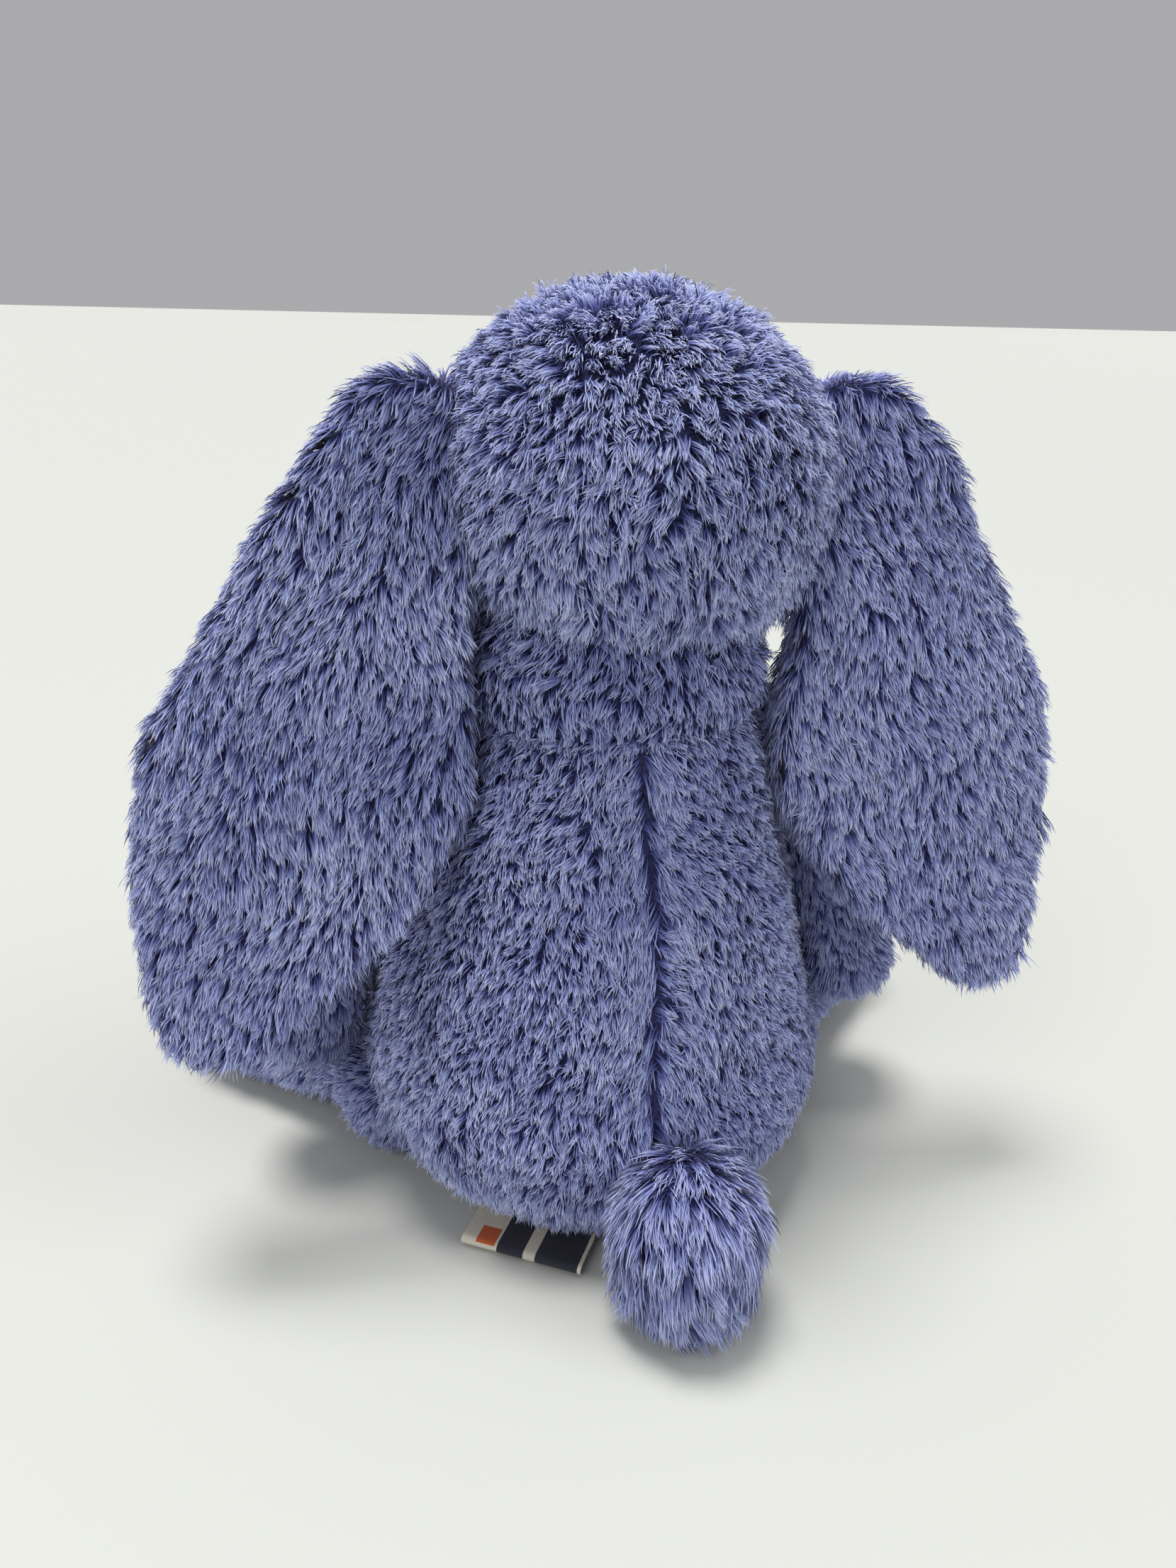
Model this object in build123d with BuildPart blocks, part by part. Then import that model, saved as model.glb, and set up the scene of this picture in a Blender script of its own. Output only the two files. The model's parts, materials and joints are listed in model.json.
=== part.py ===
from build123d import *
import math
import os

os.makedirs("parts", exist_ok=True)

# A sitting lop-eared plush rabbit. Millimetres, +Z up, facing -Y, its own left side at +X.
# The origin is the middle of the flat seat, on the surface that the toy sits on.
# Every outside size is to the middle of the pile: the fabric's backing lies inside it.

# Fabric and fits
SKIN = 4.0            # plush fabric, backing and laid pile together
EAR_SKIN = 3.2        # the same fabric, pressed flatter in the ears
FIT = 0.3             # clearance between two pieces that turn against each other
TOUCH = 0.1           # clearance between a stitched-on piece and the fabric under it

# Torso: a pear, two rings of round section joined by a straight flank
SEAT_RING = 26.0      # radius of the lower ring's centre line
SEAT_ROUND = 38.0     # radius of the lower ring's section
SEAT_RING_Z = 36.0
SHOULDER_RING = 16.0
SHOULDER_ROUND = 27.0
SHOULDER_RING_Z = 127.0
SIDE_SEAM_Y = -12.0   # the belly panel is in front of this plane
BASE_H = 5.0          # height of the base panel's edge seam

# Legs
HIP_R = 20.0
HIP_SUNK = 7.0        # the hip's middle inside the torso's widest ring
HIP_Y = -12.0
HIP_CLEAR = 0.5       # the hip's ball above the table
HIP = (SEAT_RING + SEAT_ROUND - HIP_SUNK, HIP_Y, HIP_R + HIP_CLEAR)
ANKLE = (HIP[0] + 42.0, HIP_Y - 48.0, HIP[2] - 1.0)
THIGH_R = 13.0        # where the thigh leaves the hip's ball
ANKLE_R = 19.0
TOE_RISE = 22.0       # the foot's toe above the ankle
TOE_FORWARD = 8.0
TOE_R = 17.0
SOLE_DEPTH = 9.0      # the sole panel covers this much of the foot's front
LIMB_SEAM = 1.5       # a limb's lengthwise seam lies this far to one side of its middle

# Bean pouch in the seat, between the hips
POUCH_R = HIP[0] - HIP_R - 1.0
POUCH_H = 22.0
POUCH_CORNER = 8.0
POUCH_WALL = 1.0
POUCH_LIFT = 2.0      # stuffing between the base panel and the pouch

# Neck: a stuffed ball that the head turns and nods on
NECK_Z = 153.0
NECK_R = 36.0
NECK_SKIN = 3.0
NECK_BAND = 18.0      # half the height of the strip of fabric round the neck

# Head
HEAD_LEAN = -5.0      # the head's middle from the neck's middle, along X
HEAD_Z = 196.5
HEAD_RING = 4.0
HEAD_ROUND = 46.0
MUZZLE_R = 26.0
MUZZLE_Y = -33.0
MUZZLE_Z = 182.0
GUSSET_HALF = 17.0    # half the width of the strip from nose to nape
CHIN_Z = 177.0        # below this, the chin panel
CHIN_SEAM_Y = -20.0

# Safety eyes
EYE_R = 5.5
EYE_X = 27.0
EYE_RISE = 13.0       # above the head's middle
EYE_PROUD = 3.6       # how far the dome stands out of its seat
SHANK_R = 1.8
SHANK_L = 12.0
WASHER_R = 6.5
WASHER_T = 1.4

# Nose and mouth
NOSE_W = 13.0
NOSE_H = 8.5
NOSE_T = 2.2
NOSE_RISE = 7.0       # above the muzzle's middle
THREAD = 1.0
MOUTH_DROP = 7.0
MOUTH_W = 9.0

# Ears: flat, hanging beside the head, broad faces front and back
EAR_HINGE_OUT = 10.5  # the hinge lies this far outside the head's round,
EAR_HINGE_BACK = 13.0
EAR_HINGE_RISE = 13.5 # and this far above its middle
EAR_HINGE = (HEAD_RING + HEAD_ROUND + EAR_HINGE_OUT, EAR_HINGE_BACK, HEAD_Z + EAR_HINGE_RISE)
EAR_T = 14.0
EAR_BATTING = 3.0
EAR_INSET = 7.0       # the batting stops this far inside the ear's edge seam
EAR_SPLAY = {"left": 20.0, "right": 16.0}    # degrees outward from hanging straight down
EAR_TILT = 8.0        # degrees that the hanging ears slope backward
EAR_ROOT_R = 13.0
EAR_ROUNDS = ((0.0, EAR_ROOT_R), (38.0, 21.0), (84.0, 32.0), (112.0, 27.0), (142.0, 15.0))

# Arms
SHOULDER_OUT = 10.5   # the shoulder's middle outside the torso's upper ring
SHOULDER = (SHOULDER_RING + SHOULDER_ROUND + SHOULDER_OUT, -16.0, SHOULDER_RING_Z - 1.0)
HAND_OUT = 20.0       # the hand's middle outside the torso's widest ring
HAND = (SEAT_RING + SEAT_ROUND + HAND_OUT, -8.0, 50.0)
ARM_ROOT_R = 11.0
ARM_END_R = 16.0

# Tail
TAIL_X = -4.0         # it hangs a little to the right
TAIL_R = 18.5
TAIL_DROP = 5.0       # the tail is this much taller than it is wide, each way
TAIL_BACK = 12.0      # its middle behind the torso's widest ring
TAIL_Z = 23.8

# Sewn-in label, folded double, and a single leaf inside the fold
LABEL_W = 34.0
LABEL_REACH = 22.0
LABEL_PLY = 0.5
LABEL_FOLD = 3.0      # height of the fold
LABEL_Z = 0.6
LABEL_ANGLE = 57.0    # direction from the middle, from +X towards +Y
LEAF_REACH = 15.0

SPAN = 600.0          # larger than the toy: half spaces for seams


def keep(piece, name):
    piece.part.label = name
    export_step(piece.part, f"parts/{name}.step")


def wrapped(rings, inset):
    """A solid of revolution about Z whose outline wraps rings of round section."""
    with BuildPart() as body:
        with BuildSketch(Plane.XZ):
            with BuildLine():
                for ring, radius, z in rings:
                    for x in (ring, -ring):
                        CenterArc((x, z), radius - inset, 0, 360)
            make_hull()
            with Locations((-SPAN / 2, 0)):
                Rectangle(SPAN, SPAN, mode=Mode.SUBTRACT)
        revolve(axis=Axis.Z)
    return body.part


def ball(radius, centre):
    with BuildPart() as solid:
        with Locations(centre):
            Sphere(radius)
    return solid.part


def space(x=None, y=None, z=None):
    """The block between the given limits, a very large one where a limit is None."""
    low, high = [], []
    for limits in (x, y, z):
        a, b = limits or (None, None)
        low.append(-SPAN / 2 if a is None else a)
        high.append(SPAN / 2 if b is None else b)
    size = [b - a for a, b in zip(low, high)]
    with BuildPart() as solid:
        with Locations(tuple((a + b) / 2 for a, b in zip(low, high))):
            Box(*size)
    return solid.part


def limb(start, end, r_start, r_end):
    """A round limb with ball ends from one point to another."""
    along = Vector(*end) - Vector(*start)
    face_up = along.cross(Vector(0, 0, 1)).cross(along)
    with BuildPart() as solid:
        with BuildSketch(Plane(origin=start, x_dir=along, z_dir=face_up)):
            with BuildLine():
                CenterArc((0, 0), r_start, 0, 360)
                CenterArc((along.length, 0), r_end, 0, 360)
            make_hull()
            with Locations((0, -SPAN / 2)):
                Rectangle(2 * SPAN, SPAN, mode=Mode.SUBTRACT)
        revolve(axis=Axis(start, along))
    return solid.part


def mirrored(point, side):
    return (side * point[0], point[1], point[2])


def part_of(solid, *within, less=()):
    """What of a solid lies within the given regions, less the others."""
    with BuildPart() as piece:
        add(solid)
        for region in within:
            add(region, mode=Mode.INTERSECT)
        for region in less:
            add(region, mode=Mode.SUBTRACT)
    return piece


# Torso
TORSO_RINGS = (
    (SEAT_RING, SEAT_ROUND, SEAT_RING_Z),
    (SHOULDER_RING, SHOULDER_ROUND, SHOULDER_RING_Z),
)
NECK = (0, 0, NECK_Z)
SIDES = {"left": 1, "right": -1}
neck_socket = ball(NECK_R + FIT, NECK)
sockets = [neck_socket]
for side in SIDES.values():
    sockets.append(ball(ARM_ROOT_R + FIT, mirrored(SHOULDER, side)))
    sockets.append(ball(HIP_R + FIT, mirrored(HIP, side)))

tail_place = (TAIL_X, SEAT_RING + SEAT_ROUND + TAIL_BACK, TAIL_Z)


def tail_body(inset):
    low = (tail_place[0], tail_place[1], TAIL_Z - TAIL_DROP)
    high = (tail_place[0], tail_place[1] + TOUCH, TAIL_Z + TAIL_DROP)
    return limb(low, high, TAIL_R - inset, TAIL_R - inset)


torso = wrapped(TORSO_RINGS, 0)
torso_inside = part_of(wrapped(TORSO_RINGS, SKIN), space(z=(SKIN, None))).part
sockets.append(tail_body(-FIT))
above_seat = space(z=(0, None))
above_base = space(z=(BASE_H, None))

panels = {
    "body_base": (space(z=(0, BASE_H)),),
    "body_belly": (above_base, space(y=(None, SIDE_SEAM_Y))),
    "body_back_left": (above_base, space(x=(0, None), y=(SIDE_SEAM_Y, None))),
    "body_back_right": (above_base, space(x=(None, 0), y=(SIDE_SEAM_Y, None))),
}
for name, regions in panels.items():
    keep(part_of(torso, *regions, less=[torso_inside, *sockets]), name)

# Bean pouch and its pellets
pouch_low = SKIN + POUCH_LIFT + POUCH_CORNER
POUCH_RINGS = (
    (POUCH_R - POUCH_CORNER, POUCH_CORNER, pouch_low),
    (POUCH_R - POUCH_CORNER, POUCH_CORNER, pouch_low + POUCH_H - 2 * POUCH_CORNER),
)
pouch = wrapped(POUCH_RINGS, 0)
pouch_inside = wrapped(POUCH_RINGS, POUCH_WALL)
keep(part_of(pouch, less=[pouch_inside]), "bean_pouch")
keep(part_of(pouch_inside), "plastic_pellets")
keep(part_of(torso_inside, less=[pouch, *sockets]), "body_stuffing")

# Neck
neck_core = ball(NECK_R - NECK_SKIN, NECK)
band = space(z=(NECK_Z - NECK_BAND, NECK_Z + NECK_BAND))
keep(part_of(ball(NECK_R, NECK), band, less=[neck_core]), "neck_band")
keep(part_of(neck_core), "neck_stuffing")

# Head
HEAD_MIDDLE = (HEAD_LEAN, 0, HEAD_Z)
MUZZLE = (HEAD_LEAN, MUZZLE_Y, MUZZLE_Z)


def head_body(inset):
    with BuildPart() as solid:
        add(wrapped(((HEAD_RING, HEAD_ROUND, HEAD_Z),), inset))
        with Locations((0, MUZZLE_Y, MUZZLE_Z)):
            Sphere(MUZZLE_R - inset)
    return solid.part.moved(Location((HEAD_LEAN, 0, 0)))


def ear_plane(side):
    """An ear's broad middle plane: its own X is across the toy, its own Y up the ear."""
    tilt = math.radians(EAR_TILT)
    hinge = (HEAD_LEAN + side * EAR_HINGE[0], EAR_HINGE[1], EAR_HINGE[2])
    return Plane(origin=hinge, x_dir=(1, 0, 0), z_dir=(0, -math.cos(tilt), -math.sin(tilt)))


def ear_slab(name, rounds, inset, behind, ahead):
    """An ear's outline as a slab from so far behind its middle plane to so far ahead."""
    side = SIDES[name]
    lean = math.radians(EAR_SPLAY[name])
    with BuildPart() as slab:
        with BuildSketch(ear_plane(side).offset(-behind)):
            with BuildLine():
                for along, radius in rounds:
                    centre = (side * along * math.sin(lean), -along * math.cos(lean))
                    CenterArc(centre, radius - inset, 0, 360)
            make_hull()
        extrude(amount=behind + ahead)
    return slab.part


head = head_body(0)
head_inside = head_body(SKIN)
head_cuts = [neck_socket]
for name in SIDES:
    # the ear's root turns in the dent that the hanging ear lies in
    head_cuts.append(ear_slab(name, EAR_ROUNDS, -FIT, EAR_T / 2 + FIT, EAR_T / 2 + FIT))

# Eyes: a dome on a shank that passes through the fabric into a washer behind it
head_round = HEAD_RING + HEAD_ROUND
eye_aim = {}
for name, side in SIDES.items():
    depth = math.sqrt(head_round**2 - EYE_X**2 - EYE_RISE**2)
    eye_aim[name] = Vector(side * EYE_X, -depth, EYE_RISE).normalized()


def on_eye(name, distance):
    """The plane across an eye's axis at a distance from the head's middle."""
    return Plane(origin=Vector(*HEAD_MIDDLE) + eye_aim[name] * distance, z_dir=eye_aim[name])


eye_seat = head_round - 0.6
washer_out = head_round - SKIN - 1.6
eye_cuts = []
washer_cuts = []
for name in SIDES:
    with BuildPart() as eye:
        with BuildSketch(on_eye(name, eye_seat)):
            Circle(EYE_R)
        extrude(amount=EYE_PROUD)
        fillet(eye.edges().group_by(SortBy.DISTANCE)[-1], EYE_PROUD * 0.9)
        with BuildSketch(on_eye(name, eye_seat)):
            Circle(SHANK_R)
        extrude(amount=-SHANK_L)
    keep(eye, f"eye_{name}")
    with BuildPart() as washer:
        with BuildSketch(on_eye(name, washer_out)):
            Circle(WASHER_R)
            Circle(SHANK_R + TOUCH, mode=Mode.SUBTRACT)
        extrude(amount=-WASHER_T)
    keep(washer, f"eye_washer_{name}")
    with BuildPart() as cut:
        with BuildSketch(on_eye(name, eye_seat)):
            Circle(EYE_R + TOUCH)
        extrude(amount=EYE_PROUD)
        with BuildSketch(on_eye(name, eye_seat)):
            Circle(SHANK_R + TOUCH)
        extrude(amount=-SHANK_L - TOUCH)
    eye_cuts.append(cut.part)
    with BuildPart() as cut:
        with BuildSketch(on_eye(name, washer_out + TOUCH)):
            Circle(WASHER_R + TOUCH)
        extrude(amount=-WASHER_T - 2 * TOUCH)
    washer_cuts.append(cut.part)

chin = part_of(space(y=(None, CHIN_SEAM_Y), z=(None, CHIN_Z))).part
low_x = HEAD_LEAN - GUSSET_HALF
high_x = HEAD_LEAN + GUSSET_HALF
skin_cuts = [head_inside, *head_cuts, *eye_cuts]
keep(part_of(head, chin, less=skin_cuts), "head_chin")
keep(part_of(head, space(x=(low_x, high_x)), less=[chin, *skin_cuts]), "head_gusset")
keep(part_of(head, space(x=(high_x, None)), less=[chin, *skin_cuts]), "head_side_left")
keep(part_of(head, space(x=(None, low_x)), less=[chin, *skin_cuts]), "head_side_right")
keep(part_of(head_inside, less=[*head_cuts, *eye_cuts, *washer_cuts]), "head_stuffing")

# Nose and mouth, laid on the round muzzle
muzzle_skin = ball(MUZZLE_R + TOUCH, MUZZLE)
front = Plane(origin=(HEAD_LEAN, MUZZLE_Y, MUZZLE_Z), x_dir=(1, 0, 0), z_dir=(0, -1, 0))
with BuildPart() as nose_prism:
    with BuildSketch(front):
        with BuildLine():
            Polyline(
                (-NOSE_W / 2, NOSE_RISE + NOSE_H / 2),
                (NOSE_W / 2, NOSE_RISE + NOSE_H / 2),
                (0, NOSE_RISE - NOSE_H / 2),
                close=True,
            )
        make_face()
        fillet(vertices(), NOSE_H / 5)
    extrude(amount=2 * MUZZLE_R)
keep(part_of(ball(MUZZLE_R + NOSE_T, MUZZLE), nose_prism.part, less=[muzzle_skin]), "nose")

with BuildPart() as mouth_prism:
    nose_foot = NOSE_RISE - NOSE_H / 2 - TOUCH
    with BuildSketch(front):
        with Locations((0, nose_foot - MOUTH_DROP / 2)):
            Rectangle(THREAD, MOUTH_DROP)
        for side in SIDES.values():
            with BuildLine():
                ThreePointArc(
                    (0, nose_foot - MOUTH_DROP),
                    (side * MOUTH_W / 2, nose_foot - MOUTH_DROP - MOUTH_W / 4),
                    (side * MOUTH_W, nose_foot - MOUTH_DROP),
                )
            trace(line_width=THREAD)
    extrude(amount=2 * MUZZLE_R)
keep(part_of(ball(MUZZLE_R + THREAD, MUZZLE), mouth_prism.part, less=[muzzle_skin]), "mouth_stitching")

# Ears
for name in SIDES:
    batting = ear_slab(name, EAR_ROUNDS[1:], EAR_INSET, EAR_BATTING / 2, EAR_BATTING / 2)
    keep(part_of(batting), f"ear_{name}_batting")
    keep(part_of(ear_slab(name, EAR_ROUNDS, 0, EAR_T / 2, 0), less=[batting]), f"ear_{name}_back")
    keep(part_of(ear_slab(name, EAR_ROUNDS, 0, 0, EAR_T / 2), less=[batting]), f"ear_{name}_lining")


def keep_pair(piece, kind, name):
    """Writes a left limb's piece, and its mirror image as the right limb's."""
    keep(piece, f"{kind}_left_{name}")
    with BuildPart() as other:
        add(piece.part)
        mirror(about=Plane.YZ, mode=Mode.REPLACE)
    keep(other, f"{kind}_right_{name}")


def halves(start, end):
    """The two half spaces either side of a limb's upright lengthwise seam plane."""
    along = Vector(*end) - Vector(*start)
    across = along.cross(Vector(0, 0, 1)).normalized()
    start = Vector(*start)
    found = []
    for sign in (1, -1):
        with BuildPart() as half:
            with BuildSketch(Plane(origin=start + across * LIMB_SEAM, z_dir=across * sign)):
                Rectangle(SPAN, SPAN)
            extrude(amount=SPAN / 2)
        found.append(half.part)
    return found


# Arms
arm = limb(SHOULDER, HAND, ARM_ROOT_R, ARM_END_R)
arm_inside = limb(SHOULDER, HAND, ARM_ROOT_R - SKIN, ARM_END_R - SKIN)
front_half, back_half = halves(SHOULDER, HAND)
keep_pair(part_of(arm, front_half, less=[arm_inside]), "arm", "front")
keep_pair(part_of(arm, back_half, less=[arm_inside]), "arm", "back")
keep_pair(part_of(arm_inside), "arm", "stuffing")

# Legs: a thigh and an upturned foot
leg_way = Vector(ANKLE[0] - HIP[0], ANKLE[1] - HIP[1], 0).normalized()
TOE = tuple(Vector(*ANKLE) + leg_way * TOE_FORWARD + Vector(0, 0, TOE_RISE))


def leg_body(inset):
    with BuildPart() as solid:
        with Locations(HIP):
            Sphere(HIP_R - inset)
        add(limb(HIP, ANKLE, THIGH_R - inset, ANKLE_R - inset))
        add(limb(ANKLE, TOE, ANKLE_R - inset, TOE_R - inset))
    return solid.part


leg = leg_body(0)
leg_inside = leg_body(SKIN)
sole_plane = Plane(origin=TOE, z_dir=leg_way).offset(TOE_R - SOLE_DEPTH)
with BuildPart() as beyond:
    with BuildSketch(sole_plane):
        Rectangle(SPAN, SPAN)
    extrude(amount=SPAN / 2)
sole = beyond.part
outer_half, inner_half = halves(HIP, ANKLE)
keep_pair(part_of(leg, sole, less=[leg_inside]), "foot", "sole")
keep_pair(part_of(leg, outer_half, less=[leg_inside, sole]), "leg", "outer")
keep_pair(part_of(leg, inner_half, less=[leg_inside, sole]), "leg", "inner")
keep_pair(part_of(leg_inside), "leg", "stuffing")

# Tail
tail_inside = tail_body(SKIN)
keep(part_of(tail_body(0), less=[tail_inside]), "tail_cover")
keep(part_of(tail_inside), "tail_stuffing")

# Label: a strip of tape folded double, sewn under the back edge of the seat
label_way = math.radians(LABEL_ANGLE)
label_plane = Plane(
    origin=(0, 0, LABEL_Z),
    x_dir=(math.cos(label_way), math.sin(label_way), 0),
    z_dir=(-math.sin(label_way), math.cos(label_way), 0),
)
label_root = SEAT_RING + SEAT_ROUND * 0.35
label_clear = part_of(wrapped(TORSO_RINGS, -TOUCH)).part
with BuildPart() as label:
    with BuildSketch(label_plane.offset(-LABEL_W / 2)):
        with Locations((label_root + LABEL_REACH / 2, LABEL_FOLD / 2)):
            Rectangle(LABEL_REACH, LABEL_FOLD)
        with Locations((label_root + LABEL_REACH / 2 - LABEL_PLY, LABEL_FOLD / 2)):
            Rectangle(LABEL_REACH, LABEL_FOLD - 2 * LABEL_PLY, mode=Mode.SUBTRACT)
    extrude(amount=LABEL_W)
    add(label_clear, mode=Mode.SUBTRACT)
keep(label, "sewn_label")
with BuildPart() as leaf:
    with BuildSketch(label_plane.offset(-LABEL_W / 2)):
        with Locations((label_root + LEAF_REACH / 2, LABEL_FOLD / 2)):
            Rectangle(LEAF_REACH, LABEL_PLY)
    extrude(amount=LABEL_W)
    add(label_clear, mode=Mode.SUBTRACT)
keep(leaf, "label_leaf")
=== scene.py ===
import json
import math

import bmesh
import bpy
import numpy as np
from mathutils import Matrix, Vector
from mathutils.kdtree import KDTree


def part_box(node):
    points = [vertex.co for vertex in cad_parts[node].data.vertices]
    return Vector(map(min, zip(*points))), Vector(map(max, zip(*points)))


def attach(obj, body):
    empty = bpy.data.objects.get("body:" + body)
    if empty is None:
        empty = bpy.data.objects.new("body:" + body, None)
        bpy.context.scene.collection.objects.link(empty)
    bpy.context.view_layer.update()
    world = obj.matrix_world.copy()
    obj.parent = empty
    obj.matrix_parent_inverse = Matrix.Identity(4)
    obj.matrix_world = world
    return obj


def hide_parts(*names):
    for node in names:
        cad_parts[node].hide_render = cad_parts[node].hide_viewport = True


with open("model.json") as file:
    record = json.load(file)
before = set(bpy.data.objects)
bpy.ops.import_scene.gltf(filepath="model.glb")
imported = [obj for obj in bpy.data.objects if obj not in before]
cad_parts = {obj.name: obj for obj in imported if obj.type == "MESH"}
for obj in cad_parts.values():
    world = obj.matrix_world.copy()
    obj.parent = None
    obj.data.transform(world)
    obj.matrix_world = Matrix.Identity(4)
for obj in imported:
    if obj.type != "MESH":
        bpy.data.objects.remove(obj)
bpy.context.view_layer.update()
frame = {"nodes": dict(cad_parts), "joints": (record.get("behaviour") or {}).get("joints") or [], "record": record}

# ---------------------------------------------------------------- sizes, in metres
MM = 0.001
VOXEL = 2.2 * MM          # remesh size of the sewn skins
SKIN_INSET = 2.8 * MM     # the fabric's backing lies this far inside the CAD's outside
EAR_INSET = 2.2 * MM
SEAT_INSET = 0.8 * MM     # and this far where the toy rests on the table
SEAT_BAND = 5 * MM
UNDERSIDE = 1.6 * MM      # below this height the fabric lies on the table
RIBBON = 0.35 * MM        # width of one lock of pile at its root
SECTIONS = np.array([0.0, 0.35, 0.8, 1.0])     # where along a lock its corners lie
NARROWING = np.array([1.0, 0.95, 0.78])        # its width at all of them but the tip
RIBBON_ROLL = 0.7         # how far, in radians, locks are turned about their own length
SOFT_SHADE = 0.6          # how far a lock is shaded with the surface that it grows on
OFF_TABLE = 0.4 * MM      # no lock reaches below this height
UP = np.array([0.0, 0.0, 1.0])


def middle(*nodes):
    """The middle and the half size of the box round some CAD nodes."""
    low = np.min([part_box(n)[0] for n in nodes], axis=0)
    high = np.max([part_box(n)[1] for n in nodes], axis=0)
    return (low + high) / 2, (high - low) / 2


joints = {j["name"]: j for j in frame["joints"]}


def joint_at(name):
    """A point on a joint's axis."""
    return np.array(joints[name]["pos_m"], float)


# ---------------------------------------------------------------- materials
def shader(name, **constants):
    """A node material with its principled shader's fixed values set."""
    made = bpy.data.materials.new(name)
    made.use_nodes = True
    tree = made.node_tree
    main = tree.nodes["Principled BSDF"]
    for key, value in constants.items():
        main.inputs[key.replace("_", " ")].default_value = value
    return made, tree, main


def ramp(tree, stops, source):
    """A colour that runs through stops of (place, colour) as the source goes from 0 to 1."""
    node = tree.nodes.new("ShaderNodeValToRGB")
    elements = node.color_ramp.elements
    while len(elements) < len(stops):
        elements.new(0.5)
    for element, (place, colour) in zip(elements, stops):
        element.position = place
        element.color = (*colour, 1)
    tree.links.new(source, node.inputs["Fac"])
    return node.outputs["Color"]


def rgb(r, g, b):
    """A screen colour, 0 to 255, as a linear one."""
    values = [c / 255 for c in (r, g, b)]
    return tuple(v / 12.92 if v <= 0.04045 else ((v + 0.055) / 1.055) ** 2.4 for v in values)


def pile_material(name, dark, light):
    """Pile whose colour runs from root to tip along v, with painted shade darkening the roots and painted light
    brightening the tips, and from dark to light locks along u.
    """
    made, tree, main = shader(name, Roughness=0.85, Sheen_Weight=0.2, Sheen_Roughness=0.5,
                              Specular_IOR_Level=0.15)
    uv = tree.nodes.new("ShaderNodeUVMap")
    uv.uv_map = "OFBake"
    split = tree.nodes.new("ShaderNodeSeparateXYZ")
    tree.links.new(uv.outputs["UV"], split.inputs["Vector"])
    low = ramp(tree, dark, split.outputs["Y"])
    high = ramp(tree, light, split.outputs["Y"])
    mix = tree.nodes.new("ShaderNodeMix")
    mix.data_type = "RGBA"
    tree.links.new(split.outputs["X"], mix.inputs["Factor"])
    tree.links.new(low, mix.inputs["A"])
    tree.links.new(high, mix.inputs["B"])
    tree.links.new(mix.outputs["Result"], main.inputs["Base Color"])
    return made


def cloth_material(name, base, second, thread, depth, **constants):
    """Cloth whose threads are this far apart: two mixed colours and a fine bump of some depth."""
    made, tree, main = shader(name, **constants)
    place = tree.nodes.new("ShaderNodeTexCoord")
    noise = tree.nodes.new("ShaderNodeTexNoise")
    noise.inputs["Scale"].default_value = 1 / (12 * thread)
    noise.inputs["Detail"].default_value = 5
    tree.links.new(place.outputs["Object"], noise.inputs["Vector"])
    weave = tree.nodes.new("ShaderNodeTexVoronoi")
    weave.inputs["Scale"].default_value = 1 / thread
    tree.links.new(place.outputs["Object"], weave.inputs["Vector"])
    blend = tree.nodes.new("ShaderNodeMath")
    blend.operation = "MULTIPLY_ADD"
    blend.inputs[1].default_value = 0.35
    tree.links.new(weave.outputs["Distance"], blend.inputs[0])
    tree.links.new(noise.outputs["Fac"], blend.inputs[2])
    colour = ramp(tree, ((0.35, base), (0.85, second)), blend.outputs["Value"])
    tree.links.new(colour, main.inputs["Base Color"])
    bump = tree.nodes.new("ShaderNodeBump")
    bump.inputs["Distance"].default_value = depth
    bump.inputs["Strength"].default_value = 0.8
    tree.links.new(weave.outputs["Distance"], bump.inputs["Height"])
    tree.links.new(bump.outputs["Normal"], main.inputs["Normal"])
    return made


# The pile's own periwinkle, with painted shade at the roots, where the locks shade each other, and painted light
# at the pale tips.
PILE = pile_material(
    "plush_pile",
    ((0.0, rgb(28, 30, 70)), (0.4, rgb(68, 74, 136)), (0.78, rgb(132, 142, 200)), (1.0, rgb(178, 187, 228))),
    ((0.0, rgb(40, 44, 92)), (0.4, rgb(102, 111, 178)), (0.78, rgb(184, 194, 238)), (1.0, rgb(232, 237, 252))),
)
# Pink short pile, also with painted shade at its roots and painted light at its tips.
SHORT_PILE = pile_material(
    "short_pile",
    ((0.0, rgb(120, 96, 128)), (0.6, rgb(172, 150, 178)), (1.0, rgb(202, 182, 206))),
    ((0.0, rgb(140, 116, 146)), (0.6, rgb(198, 176, 200)), (1.0, rgb(228, 210, 230))),
)
# The backing is painted as dark as the pile's shaded roots: painted shade where it shows between the locks.
BACKING = cloth_material("plush_backing", rgb(34, 36, 74), rgb(64, 68, 118), 0.9 * MM, 0.3 * MM,
                         Roughness=0.95, Sheen_Weight=0.1)
SHORT_BACKING = cloth_material("short_pile_backing", rgb(128, 106, 136), rgb(168, 146, 174), 0.7 * MM,
                               0.2 * MM, Roughness=0.95, Sheen_Weight=0.1)
FIBRE = cloth_material("fibre_filling", rgb(214, 212, 206), rgb(240, 239, 235), 1.4 * MM, 0.5 * MM,
                       Roughness=0.95, Sheen_Weight=0.2)
POUCH = cloth_material("pouch_cloth", rgb(206, 202, 190), rgb(232, 229, 220), 0.5 * MM, 0.1 * MM,
                       Roughness=0.9)
PELLETS = cloth_material("plastic_pellets", rgb(206, 210, 214), rgb(240, 242, 244), 3 * MM, 0.9 * MM,
                         Roughness=0.35)
NOSE = cloth_material("nose_cloth", rgb(196, 128, 146), rgb(222, 158, 172), 0.6 * MM, 0.15 * MM,
                      Roughness=0.7, Sheen_Weight=0.3)
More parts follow.
